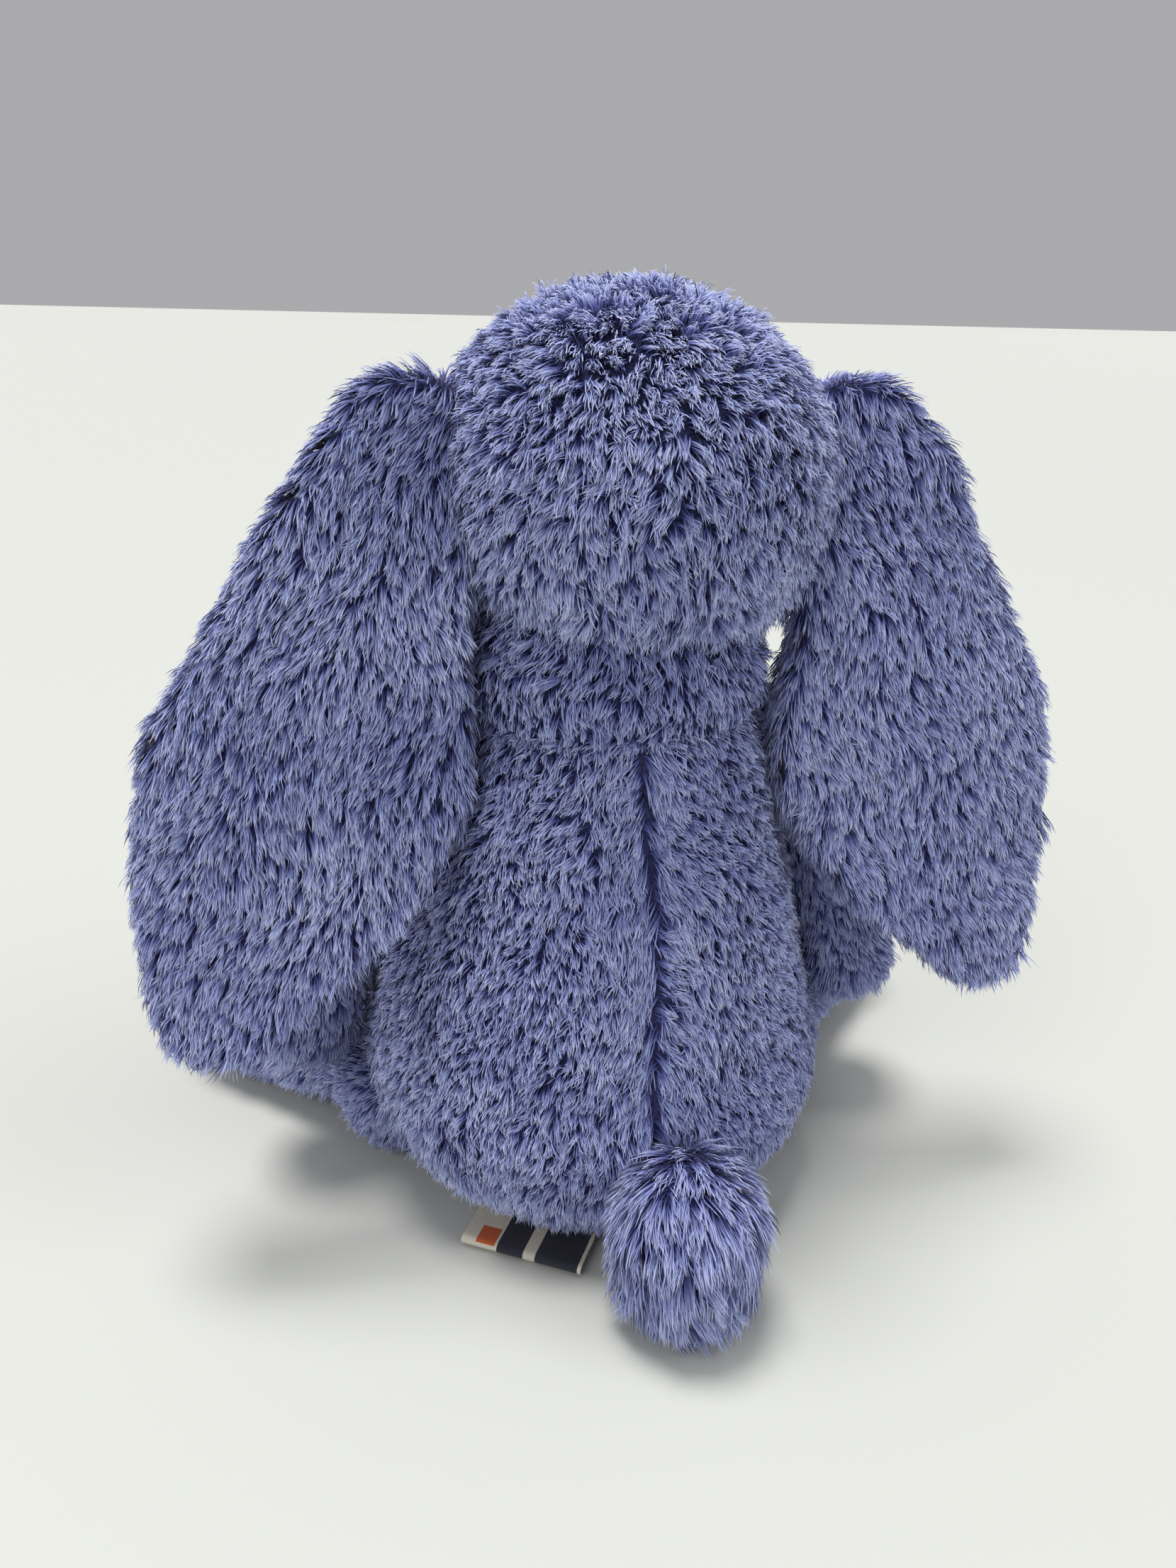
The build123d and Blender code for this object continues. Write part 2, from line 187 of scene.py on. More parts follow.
THREAD = cloth_material("stitching", rgb(72, 52, 74), rgb(110, 84, 108), 0.4 * MM, 0.12 * MM,
                        Roughness=0.6, Sheen_Weight=0.2)
EYE = cloth_material("safety_eye", rgb(10, 9, 12), rgb(20, 18, 24), 6 * MM, 0.01 * MM,
                     Roughness=0.07, Coat_Weight=0.6, Coat_Roughness=0.03)
WASHER = cloth_material("eye_washer", rgb(214, 214, 210), rgb(232, 232, 229), 4 * MM, 0.02 * MM,
                        Roughness=0.4)

carried = {
    "fibre_filling": FIBRE, "pouch_cloth": POUCH, "pellets": PELLETS, "nose_cloth": NOSE,
    "stitching": THREAD, "eye": EYE, "washer": WASHER, "plush": BACKING,
    "short_pile": SHORT_BACKING, "label_tape": POUCH, "label_leaf": POUCH,
}
for entry in frame["record"]["subparts"]:
    mesh = frame["nodes"][entry["node"]].data
    mesh.materials.clear()
    mesh.materials.append(carried[entry["material_slot"]])


# ---------------------------------------------------------------- sewn skins
def new_object(name, mesh):
    made = bpy.data.objects.new(name, mesh)
    bpy.context.scene.collection.objects.link(made)
    return made


def apply_modifiers(piece):
    """Gives a piece the mesh that its modifiers make, and takes them off."""
    graph = bpy.context.evaluated_depsgraph_get()
    mesh = bpy.data.meshes.new_from_object(piece.evaluated_get(graph))
    piece.modifiers.clear()
    piece.data = mesh
    return mesh


def points_of(mesh):
    flat = np.empty(len(mesh.vertices) * 3, np.float32)
    mesh.vertices.foreach_get("co", flat)
    return flat.reshape(-1, 3).astype(float)


def normals_of(mesh):
    flat = np.empty(len(mesh.vertices) * 3, np.float32)
    mesh.vertex_normals.foreach_get("vector", flat)
    return flat.reshape(-1, 3).astype(float)


def set_points(mesh, points):
    mesh.vertices.foreach_set("co", points.astype(np.float32).ravel())
    mesh.update()


def waves(points, size, seed):
    """A smooth value at each point, about -1 to 1, that changes over a distance of size."""
    rng = np.random.default_rng(seed)
    total = np.zeros(len(points))
    for _ in range(7):
        way = rng.normal(size=3)
        way *= rng.uniform(0.6, 1.6) * math.pi / size / np.linalg.norm(way)
        total += np.sin(points @ way + rng.uniform(0, 2 * math.pi))
    return total / 2.6


def unit(vectors):
    """Vectors along the last axis, made one long."""
    return vectors / np.maximum(np.linalg.norm(vectors, axis=-1, keepdims=True), 1e-9)


def outer_shell(mesh):
    """Keeps the largest of a mesh's separate surfaces."""
    shape = bmesh.new()
    shape.from_mesh(mesh)
    waiting = set(shape.verts)
    shells = []
    while waiting:
        front = [waiting.pop()]
        shell = list(front)
        while front:
            for edge in front.pop().link_edges:
                for vertex in edge.verts:
                    if vertex in waiting:
                        waiting.discard(vertex)
                        front.append(vertex)
                        shell.append(vertex)
        shells.append(shell)
    shells.sort(key=len)
    for shell in shells[:-1]:
        bmesh.ops.delete(shape, geom=shell, context="VERTS")
    shape.to_mesh(mesh)
    shape.free()


def skin(name, body, nodes, filling, inset, seed, voxel=VOXEL, shape=None,
         lumps=0.5 * MM, hide_filling=False):
    """One closed, stuffed fabric form in place of some CAD panels. The filling that they hold
    makes the joined form solid before it is remeshed."""
    corners = []
    faces = []
    start = 0
    for node in nodes + filling:
        mesh = frame["nodes"][node].data
        points = points_of(mesh)
        corners.append(points)
        faces += [tuple(start + v for v in polygon.vertices) for polygon in mesh.polygons]
        start += len(points)
    mesh = bpy.data.meshes.new(name)
    mesh.from_pydata(np.concatenate(corners).tolist(), [], faces)
    piece = new_object(name, mesh)
    remesh = piece.modifiers.new("remesh", "REMESH")
    remesh.mode = "VOXEL"
    remesh.voxel_size = voxel
    outer_shell(apply_modifiers(piece))
    smooth = piece.modifiers.new("smooth", "SMOOTH")
    smooth.iterations = 6
    smooth.factor = 0.5
    mesh = apply_modifiers(piece)
    points, normals = points_of(mesh), normals_of(mesh)
    lump = waves(points, 22 * MM, seed) + 0.5 * waves(points, 9 * MM, seed + 1)
    seat = points[:, 2] + SEAT_INSET
    resting = points[:, 2] < SEAT_BAND
    points = points + normals * (lumps * np.maximum(lump, -1) - inset)[:, None]
    points[resting, 2] = np.minimum(points[resting, 2], seat[resting])
    if shape:
        points = shape(points)
    set_points(mesh, points)
    mesh.shade_smooth()
    mesh.materials.append(BACKING)
    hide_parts(*nodes, *(filling if hide_filling else ()))
    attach(piece, body)
    return piece


# ---------------------------------------------------------------- pile
def sample(piece, per_mm2, rng):
    """Points spread over a mesh, with its smooth normals there."""
    mesh = piece.data
    mesh.calc_loop_triangles()
    corners = np.empty(len(mesh.loop_triangles) * 3, np.int32)
    mesh.loop_triangles.foreach_get("vertices", corners)
    corners = corners.reshape(-1, 3)
    points, normals = points_of(mesh), normals_of(mesh)
    a, b, c = (points[corners[:, i]] for i in range(3))
    area = np.linalg.norm(np.cross(b - a, c - a), axis=1) / 2
    count = int(area.sum() / MM**2 * per_mm2)
    chosen = rng.choice(len(area), count, p=area / area.sum())
    r1, r2 = np.sqrt(rng.random(count)), rng.random(count)
    weights = np.stack([1 - r1, r1 * (1 - r2), r1 * r2], axis=1)
    spots = sum(weights[:, i, None] * points[corners[chosen, i]] for i in range(3))
    facing = unit(sum(weights[:, i, None] * normals[corners[chosen, i]] for i in range(3)))
    return spots, facing


def tangent(ways, normals):
    """Directions laid flat on the surface."""
    flat = ways - normals * (ways * normals).sum(1)[:, None]
    return unit(flat)


def pile(name, body, piece, flow, keep, seed, length=6.8, density=3.1, clump=1.9, lift=64.0,
         mess=22.0, gather=0.8, width=1.0, tint=0.0, scale=None, material=None, slot="plush",
         droop=0.25, curl=0.12, parting=None):
    """Locks of pile combed over a skin, each a narrow strip, gathered into clumps.

    flow gives the way that they lie, and keep tells which roots are on this panel. length is in
    mm, and scale is the share of it at each root. density is locks to a square mm, clump the mm
    between clumps, lift and mess the degrees that clumps stand up and stray, and gather how far
    a clump's tips close. parting tells how near a seam is, where locks lie flatter."""
    rng = np.random.default_rng(seed)
    centres, facing = sample(piece, 1 / clump**2, rng)
    kept = keep(centres, facing)
    centres, facing = centres[kept], facing[kept]
    ways = tangent(flow(centres, facing), facing)
    calm = 1 if parting is None else 1 - 0.8 * parting(centres)
    turn = calm * np.radians(mess) * (0.75 * waves(centres, 14 * MM, seed + 5)
                               + 0.75 * rng.normal(size=len(centres)))
    across = np.cross(facing, ways)
    ways = ways * np.cos(turn)[:, None] + across * np.sin(turn)[:, None]
    rise = np.radians(np.clip(lift + 9 * rng.normal(size=len(centres)), 8, 80))
    if parting is not None:
        rise = rise * (1 - 0.5 * parting(centres))
    reach = length * MM * (1 + 0.16 * rng.normal(size=len(centres)))
    clump_tint = 0.17 * rng.normal(size=len(centres)) + 0.16 * waves(centres, 26 * MM, seed + 9)

    roots, normal = sample(piece, density, rng)
    kept = keep(roots, normal)
    roots, normal = roots[kept], normal[kept]
    tree = KDTree(len(centres))
    for i, centre in enumerate(centres):
        tree.insert(centre, i)
    tree.balance()
    wander = roots + rng.normal(size=roots.shape) * (0.22 * clump * MM)
    owner = np.array([tree.find(p)[1] for p in wander])
    count = len(roots)
    own_way = tangent(ways[owner] + curl * rng.normal(size=(count, 3)), normal)
    own_rise = rise[owner] + 0.10 * rng.normal(size=count)
    own_reach = reach[owner] * rng.uniform(0.72, 1.08, count)
    if scale is not None:
        own_reach = own_reach * scale(roots)
    away = roots - centres[owner]
    bend = rng.normal(size=(count, 3)) * (0.05 * own_reach)[:, None]

    def place(t):
        up = (np.sin(own_rise) * (t - 0.42 * t * t) * own_reach)[:, None] * normal
        out = (np.cos(own_rise) * (0.72 * t + 0.38 * t * t) * own_reach)[:, None] * own_way
        fall = (droop * t * t * own_reach)[:, None] * -UP
        fall = fall - normal * np.minimum((fall * normal).sum(1), 0)[:, None] * 0.8
        pull = away * (-gather * t)
        return roots + up + out + fall + pull + bend * (t * t)

    rows = [place(t) for t in SECTIONS]
    roll = rng.normal(size=count) * RIBBON_ROLL
    side = unit(np.cross(rows[2] - rows[0], normal))
    side = side * np.cos(roll)[:, None] + normal * np.sin(roll)[:, None]
    half = RIBBON / 2 * width * rng.uniform(0.75, 1.25, count)[:, None]
    vertices = np.empty((count, 7, 3))
    for i in range(3):
        vertices[:, 2 * i] = rows[i] - side * half * NARROWING[i]
        vertices[:, 2 * i + 1] = rows[i] + side * half * NARROWING[i]
    vertices[:, 6] = rows[3]
    vertices[:, :, 2] = np.maximum(vertices[:, :, 2], OFF_TABLE)

    # tint lightens or darkens all of a panel's locks; on the head and the neck it is painted light and shade.
    shade = np.clip(0.5 + tint + clump_tint[owner] + 0.12 * rng.normal(size=count), 0.06, 0.94)
    corners = np.array([0, 1, 3, 2, 2, 3, 5, 4, 4, 5, 6])
    loops = (np.arange(count)[:, None] * 7 + corners).ravel()
    across_uv = np.array([-1, 1, 1, -1, -1, 1, 1, -1, -1, 1, 0]) * 0.05
    along = np.array([0, 0, 0.35, 0.35, 0.35, 0.35, 0.8, 0.8, 0.8, 0.8, 1.0]) * 0.96 + 0.02
    uv = np.empty((count, 11, 2), np.float32)
    uv[:, :, 0] = np.clip(shade[:, None] + across_uv, 0.01, 0.99)
    uv[:, :, 1] = along

    mesh = bpy.data.meshes.new(name)
    mesh.vertices.add(count * 7)
    mesh.vertices.foreach_set("co", vertices.astype(np.float32).ravel())
    mesh.loops.add(count * 11)
    mesh.loops.foreach_set("vertex_index", loops.astype(np.int32))
    mesh.polygons.add(count * 3)
    starts = (np.arange(count)[:, None] * 11 + np.array([0, 4, 8])).ravel()
    mesh.polygons.foreach_set("loop_start", starts.astype(np.int32))
    mesh.polygons.foreach_set("use_smooth", np.ones(count * 3, bool))
    mesh.update(calc_edges=True)
    layer = mesh.uv_layers.new(name="OFBake")
    layer.data.foreach_set("uv", uv.ravel())
    mesh.materials.append(material or PILE)
    lean = np.cross(rows[3] - rows[0], side)
    lean = unit(lean) * np.sign((lean * normal).sum(1))[:, None]
    soft = unit(SOFT_SHADE * normal + (1 - SOFT_SHADE) * lean)
    mesh.normals_split_custom_set_from_vertices(np.repeat(soft, 7, axis=0))
    made = new_object(name, mesh)
    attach(made, body)
    print(name, "locks", count)
    return made


# ---------------------------------------------------------------- torso
torso_nodes = ("body_base", "body_belly", "body_back_left", "body_back_right")
torso_half = middle(*torso_nodes)[1]
SEAM_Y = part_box("body_back_left")[0].y
neck_at = joint_at("neck_turn")
tail_at = joint_at("tail_lift")

# The middle back seam: its depth, its width and how far its parting shows
SEAM_DEEP, SEAM_WIDE, SEAM_REACH = 1.2 * MM, 2.6 * MM, 8 * MM
# The sunk filling: how far it bulges, at what height, and over what height
SAG_OUT, SAG_Z, SAG_TALL = 5.5 * MM, 62 * MM, 34 * MM
# Round each sewn-on part no pile grows on the body
NECK_CLEAR, TAIL_CLEAR, ARM_CLEAR, LEG_CLEAR = 37 * MM, 19 * MM, 12.5 * MM, 21 * MM
TAIL_SOCKET = np.array([-4.0, 76.0, 23.8]) * MM
WAIST_Z, CHEST_Z = 58 * MM, 100 * MM


def sagging(points):
    """The filling has sunk to the toy's left, and the middle back seam is drawn in."""
    points = points.copy()
    share = np.clip(points[:, 0] / torso_half[0], 0, 1)
    points[:, 0] += SAG_OUT * share * np.exp(-((points[:, 2] - SAG_Z) / SAG_TALL) ** 2)
    at_back = np.clip(points[:, 1] / (30 * MM), 0, 1)
    points[:, 1] -= SEAM_DEEP * at_back * np.exp(-(points[:, 0] / SEAM_WIDE) ** 2)
    return points


def by_seam(points):
    """How near the middle back seam is, from 0 to 1."""
    return np.exp(-np.abs(points[:, 0]) / SEAM_REACH) * (points[:, 1] > 0)


torso_skin = skin("torso_plush", "torso", torso_nodes,
                  ("body_stuffing", "bean_pouch", "plastic_pellets"), SKIN_INSET, 11,
                  hide_filling=True, shape=sagging)
sockets = [(neck_at, NECK_CLEAR), (TAIL_SOCKET, TAIL_CLEAR)]
for side in ("left", "right"):
    sockets.append((joint_at(f"arm_{side}_raise"), ARM_CLEAR))
    sockets.append((joint_at(f"leg_{side}_swing"), LEG_CLEAR))


def clear_of_sockets(points):
    """Not where another sewn part meets the body."""
    clear = np.ones(len(points), bool)
    for spot, radius in sockets:
        clear &= np.linalg.norm(points - spot, axis=1) > radius
    return clear


def down_torso(points, normals):
    """Down the body, away from the middle back seam and its partings."""
    side = np.sign(points[:, 0] + 1.5 * MM * waves(points, 20 * MM, 3))
    near = np.exp(-np.abs(points[:, 0]) / (14 * MM)) * (points[:, 1] > 0)
    way = np.zeros_like(points)
    way[:, 2] = -1
    way[:, 0] = side * (0.12 + 1.1 * near) + 0.55 * waves(points, 26 * MM, 21)
    way[:, 1] += 0.3 * waves(points, 26 * MM, 22)
    return way


BODY = dict(length=6.2, mess=62, clump=1.7, lift=74, gather=0.74, droop=0.3, curl=0.2, density=3.1,
            parting=by_seam)
panels = {
    "back_left": lambda p: (p[:, 1] > SEAM_Y) & (p[:, 0] >= 0),
    "back_right": lambda p: (p[:, 1] > SEAM_Y) & (p[:, 0] < 0),
    "belly": lambda p: p[:, 1] <= SEAM_Y,
}
levels = {"seat": (UNDERSIDE, WAIST_Z), "waist": (WAIST_Z, CHEST_Z), "chest": (CHEST_Z, 1.0)}
for row, (label, panel) in enumerate(panels.items()):
    for column, (level, (low, high)) in enumerate(levels.items()):
        pile(f"{label}_{level}_pile", "torso", torso_skin, down_torso,
             lambda p, n, on=panel, a=low, b=high: on(p) & (p[:, 2] > a) & (p[:, 2] <= b)
             & clear_of_sockets(p), 400 + 10 * row + column, **BODY)
pile("base_pile", "torso", torso_skin, down_torso, lambda p, n: p[:, 2] <= UNDERSIDE, 104,
     length=3.0, density=0.7, width=1.5)

# ---------------------------------------------------------------- neck
NECK_WIDER = 1.11         # the neck's width, as a share of the band's
NECK_SPREAD = 0.1         # and how much wider it gets over the torso's rim
NECK_ROOTS = 24 * MM      # pile grows only outside this radius
NECK_LOW = 138 * MM       # its locks get longer from here up
NECK_LOW_SHARE = 0.45


def spread(points):
    """The neck's lower part widens over the torso's rim."""
    low = np.clip((neck_at[2] + 6 * MM - points[:, 2]) / (16 * MM), 0, 1)
    wider = points.copy()
    wider[:, :2] *= (NECK_WIDER + NECK_SPREAD * low)[:, None]
    return wider


def neck_scale(points):
    """Short at the foot of the neck, where the torso's pile covers it."""
    risen = np.clip((points[:, 2] - NECK_LOW) / (16 * MM), 0, 1)
    return NECK_LOW_SHARE + (1 - NECK_LOW_SHARE) * risen


neck_skin = skin("neck_plush", "neck", ("neck_band",), ("neck_stuffing",), 2.6 * MM, 12,
                 lumps=0.3 * MM, hide_filling=True, shape=spread)
# Its tint of -0.2 darkens the neck's locks: painted shade under the head.
pile("neck_pile", "neck", neck_skin, lambda p, n: -UP + 0 * p,
     lambda p, n: np.linalg.norm(p[:, :2], axis=1) > NECK_ROOTS, 105, length=7.0, tint=-0.2,
     density=2.9, lift=64, mess=50, clump=1.8, gather=0.76, scale=neck_scale)

# ---------------------------------------------------------------- head
head_nodes = ("head_chin", "head_gusset", "head_side_left", "head_side_right")
nose_mid, nose_half = middle("nose")
eyes = {side: middle(f"eye_{side}")[0] for side in ("left", "right")}
EYE_CLEAR = 7.2 * MM      # no pile grows this near an eye
FACE_TOP = 214 * MM       # below this height the pile runs away from the nose
FACE_FRONT = -30 * MM     # and no pile grows on the nose, in front of this
HEAD_Z = 196.5 * MM
CROWN = unit(np.array([0.184, 0.602, 0.777]))     # the way from the head's middle to its crown
head_centre = np.array([middle(*head_nodes[1:])[0][0], 0.0, HEAD_Z])
head_skin = skin("head_plush", "head", head_nodes,
                 ("head_stuffing", "eye_washer_left", "eye_washer_right"), SKIN_INSET, 13)


def over_head(points, normals):
    """Outward from the crown's parting, and outward from the nose on the face."""
    arm = unit(points - head_centre)
    way = arm - CROWN * (arm @ CROWN)[:, None] * 0.4 - CROWN * 0.75
    way[:, 2] -= 0.35
    from_nose = unit(points - nose_mid)
    face = np.clip((-points[:, 1] - 22 * MM) / (18 * MM), 0, 1)[:, None]
    face *= (points[:, 2] < FACE_TOP)[:, None]
    way = unit(way) * (1 - face) + from_nose * face * 1.4
    at_crown = np.exp(-np.linalg.norm(arm - CROWN, axis=1) / 0.35)
    for k in range(3):
        way[:, k] += 0.28 * waves(points, 22 * MM, 31 + k)
        way[:, k] += 0.9 * at_crown * waves(points, 6 * MM, 36 + k)
    return way


def head_scale(points):
    """Short on the muzzle, shorter still round the eyes, nose and mouth."""
    share = np.ones(len(points))
    muzzle = np.linalg.norm(points - nose_mid, axis=1)
    share *= 0.36 + 0.64 * np.clip((muzzle - 12 * MM) / (26 * MM), 0, 1)
    for spot in eyes.values():
        gap = np.linalg.norm(points - spot, axis=1)
        share *= 0.3 + 0.7 * np.clip((gap - 6 * MM) / (12 * MM), 0, 1)
    return share


def clear_of_face(points):
    """Not under the eyes or the nose."""
    clear = np.ones(len(points), bool)
    for spot in eyes.values():
        clear &= np.linalg.norm(points - spot, axis=1) > EYE_CLEAR
    front = points[:, 1] < FACE_FRONT
    over_nose = (np.abs(points[:, 0] - nose_mid[0]) < nose_half[0] * 0.8) & (
        np.abs(points[:, 2] - nose_mid[2]) < nose_half[2] * 0.9)
    return clear & ~(front & over_nose)


chin_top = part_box("head_chin")[1].z
chin_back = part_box("head_chin")[1].y
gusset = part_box("head_gusset")


def head_panel(points):
    """Which head panel each point is on: 0 chin, 1 gusset, 2 left side, 3 right side."""
    panel = np.where(points[:, 0] > gusset[1].x, 2, np.where(points[:, 0] < gusset[0].x, 3, 1))
    return np.where((points[:, 1] < chin_back) & (points[:, 2] < chin_top), 0, panel)


# The gusset over the crown and the sides get lighter locks than the chin: painted light on the top of the head.
for index, (label, tint) in enumerate((("chin", 0.0), ("gusset", 0.16), ("side_left", 0.12),
                                       ("side_right", 0.12))):
    pile(f"head_{label}_pile", "head", head_skin, over_head,
         lambda p, n, i=index: (head_panel(p) == i) & clear_of_face(p), 110 + index, length=7.0,
         density=3.5, clump=2.0, lift=72, mess=55, gather=0.76, tint=tint, scale=head_scale,
         droop=0.26, curl=0.2)

# ---------------------------------------------------------------- ears
EAR_TILT = math.radians(8)
# How far the inner edge comes in at the root, and beside the body
EAR_INWARD = {"left": (13 * MM, 12 * MM), "right": (13 * MM, 17 * MM)}

for side, sign in (("left", 1), ("right", -1)):
    hinge = joint_at(f"ear_{side}_lift")
    body = f"ear_{side}"
    nodes = (f"ear_{side}_back", f"ear_{side}_lining")
    low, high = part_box(nodes[0])
    tip = np.array([(low.x + high.x) / 2 + sign * 8 * MM, (low.y + high.y) / 2, low.z])
    way_down = unit(tip - hinge)
    out = np.array([sign, 0.0, 0.0])
    ear_face = np.array([0.0, math.cos(EAR_TILT), math.sin(EAR_TILT)])

    def cup(points, hinge=hinge, out=out, down=way_down, face=ear_face, inward=EAR_INWARD[side]):
        """The inner edge comes in to the head and the body, the edges curl forward, and the
        broad face ripples."""
        along = (points - hinge) @ down
        beside = unit(out - down * (out @ down))
        broad = (points - hinge) @ beside
        inner = np.clip(0.5 - broad / (30 * MM), 0, 1)
        by_root = np.clip(1 - along / (46 * MM), 0, 1)
        by_body = np.sin(np.pi * np.clip((along - 10 * MM) / (150 * MM), 0, 1))
        pull = inner * (inward[0] * by_root + inward[1] * by_body)
        curl = 5 * MM * (broad / (30 * MM)) ** 2 * np.clip(along / (60 * MM), 0, 1)
        ripple = 1.6 * MM * np.sin(along / (19 * MM) + 0.8) * (broad / (30 * MM))
        tuck = 8 * MM * by_root * inner
        return points - face * (curl + ripple + tuck)[:, None] - out * pull[:, None]

    ear_skin = skin(f"ear_{side}_plush", body, nodes, (f"ear_{side}_batting",), EAR_INSET, 40 + sign,
                    shape=cup, lumps=0.4 * MM, hide_filling=True)

    def down_ear(points, normals, hinge=hinge, down=way_down, out=out, seed=50 + sign):
        """Down the ear, fanning out from above its root."""
        from_root = points - (hinge - down * 34 * MM - out * 20 * MM)
        way = unit(from_root) + 0.5 * down
        for k in range(3):
            way[:, k] += 0.16 * waves(points, 24 * MM, seed + k)
        return way

    def behind(points, normals, face=ear_face):
        """On the ear's back or its edge, not on its lining."""
        return normals @ face > -0.35

    pile(f"ear_{side}_back_pile", body, ear_skin, down_ear, behind, 120 + sign, length=7.0,
         density=3.2, clump=1.8, lift=50, mess=18, gather=0.8, tint=0.02, droop=0.14)
    pile(f"ear_{side}_lining_pile", body, ear_skin, down_ear,
         lambda p, n, b=behind: ~b(p, n), 124 + sign, length=4.0, density=1.6, clump=2.0, lift=40,
         mess=16, gather=0.5, width=0.9, material=SHORT_PILE, slot="short_pile")

# ---------------------------------------------------------------- arms
for side, sign in (("left", 1), ("right", -1)):
    shoulder = joint_at(f"arm_{side}_raise")
    body = f"arm_{side}"
    nodes = (f"arm_{side}_front", f"arm_{side}_back")
    arm_mid = middle(*nodes)[0]
    arm_skin = skin(f"arm_{side}_plush", body, nodes, (f"arm_{side}_stuffing",), SKIN_INSET, 60 + sign)
    hand = arm_mid + (arm_mid - shoulder) * 0.8

    def down_arm(points, normals, way=unit(hand - shoulder)):
        """Along the arm to the hand."""
        return way + 0.25 * np.stack([waves(points, 18 * MM, 61 + k) for k in range(3)], axis=1)

    pile(f"arm_{side}_back_pile", body, arm_skin, down_arm,
         lambda p, n, seam_y=arm_mid[1]: p[:, 1] > seam_y, 130 + sign)
    pile(f"arm_{side}_front_pile", body, arm_skin, down_arm,
         lambda p, n, seam_y=arm_mid[1]: p[:, 1] <= seam_y, 134 + sign)

# ---------------------------------------------------------------- legs and feet
SOLE_DEEP = 9 * MM        # how far the sole's pile wraps round the foot's edge

for side, sign in (("left", 1), ("right", -1)):
    hip = joint_at(f"leg_{side}_swing")
    body = f"leg_{side}"
    nodes = (f"leg_{side}_outer", f"leg_{side}_inner", f"foot_{side}_sole")
    leg_skin = skin(f"leg_{side}_plush", body, nodes, (f"leg_{side}_stuffing",), SKIN_INSET, 70 + sign)
    sole_low, sole_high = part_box(f"foot_{side}_sole")
    sole_mid = np.array((sole_low + sole_high) / 2)
    toward = unit(np.array([sole_mid[0] - hip[0], sole_mid[1] - hip[1], 0.0]))

    def down_leg(points, normals, way=toward):
        """Along the leg to the foot, and down."""
        return way - 0.5 * UP + 0.25 * np.stack(
            [waves(points, 18 * MM, 71 + k) for k in range(3)], axis=1)

    sole_points = points_of(frame["nodes"][f"foot_{side}_sole"].data)
    sole_face = max((sole_points - hip) @ toward) - SOLE_DEEP

    def on_sole(points, normals, hip=hip, way=toward, face=sole_face):
        return (points - hip) @ way > face

    def upper(points, normals, test=on_sole):
        """Off the sole and off the table."""
        return ~test(points, normals) & (points[:, 2] > 2 * MM)

    across = np.cross(toward, UP)
    pile(f"leg_{side}_outer_pile", body, leg_skin, down_leg,
         lambda p, n, t=upper, h=hip, a=across: t(p, n) & ((p - h) @ a > 0), 140 + sign)
    pile(f"leg_{side}_inner_pile", body, leg_skin, down_leg,
         lambda p, n, t=upper, h=hip, a=across: t(p, n) & ((p - h) @ a <= 0), 144 + sign)
    pile(f"foot_{side}_sole_pile", body, leg_skin, lambda p, n: -UP + 0 * p, on_sole, 148 + sign,
         length=3.2, density=1.7, clump=1.8, lift=45, gather=0.5, width=0.9, material=SHORT_PILE,
         slot="short_pile")

# ---------------------------------------------------------------- tail
TAIL_CORE = np.array([0.0, 4.0, 4.0]) * MM     # the pile's middle, from the tail's joint
tail_skin = skin("tail_plush", "tail", ("tail_cover",), ("tail_stuffing",), SKIN_INSET, 80)


def down_tail(points, normals):
    """Out from the tail's root on every side."""
    return unit(points - (tail_at + TAIL_CORE))


pile("tail_pile", "tail", tail_skin, down_tail, lambda p, n: p[:, 2] > 2 * MM, 150, length=9.5,
     density=3.0, clump=2.5, lift=46, mess=22, gather=0.82, tint=-0.06)


# ---------------------------------------------------------------- label
def strip(name, root, way, width, profile, cell=1.2 * MM):
    """A strip of cloth whose length follows a profile of (reach, height) points."""
    across = np.array([-way[1], way[0], 0.0])
    profile = np.array(profile)
    steps = np.concatenate([[0], np.cumsum(np.linalg.norm(np.diff(profile, axis=0), axis=1))])
    total = steps[-1]
    rows, columns = int(total / cell) + 1, int(width / cell) + 1
    s = np.linspace(0, total, rows)
    reach, height = np.interp(s, steps, profile[:, 0]), np.interp(s, steps, profile[:, 1])
    grid = []
    for i in range(rows):
        for j in range(columns):
            w = (j / (columns - 1) - 0.5) * width
            grid.append(root + way * reach[i] + across * w + UP * height[i])
    faces = [(i * columns + j, i * columns + j + 1, (i + 1) * columns + j + 1, (i + 1) * columns + j)
             for i in range(rows - 1) for j in range(columns - 1)]
    mesh = bpy.data.meshes.new(name)
    mesh.from_pydata([tuple(p) for p in grid], [], faces)
    layer = mesh.uv_layers.new(name="OFBake")
    uv = []
    for polygon in mesh.polygons:
        for vertex in polygon.vertices:
            uv += [(vertex % columns) / (columns - 1), s[vertex // columns] / total]
    layer.data.foreach_set("uv", uv)
    mesh.shade_smooth()
    return new_object(name, mesh), total


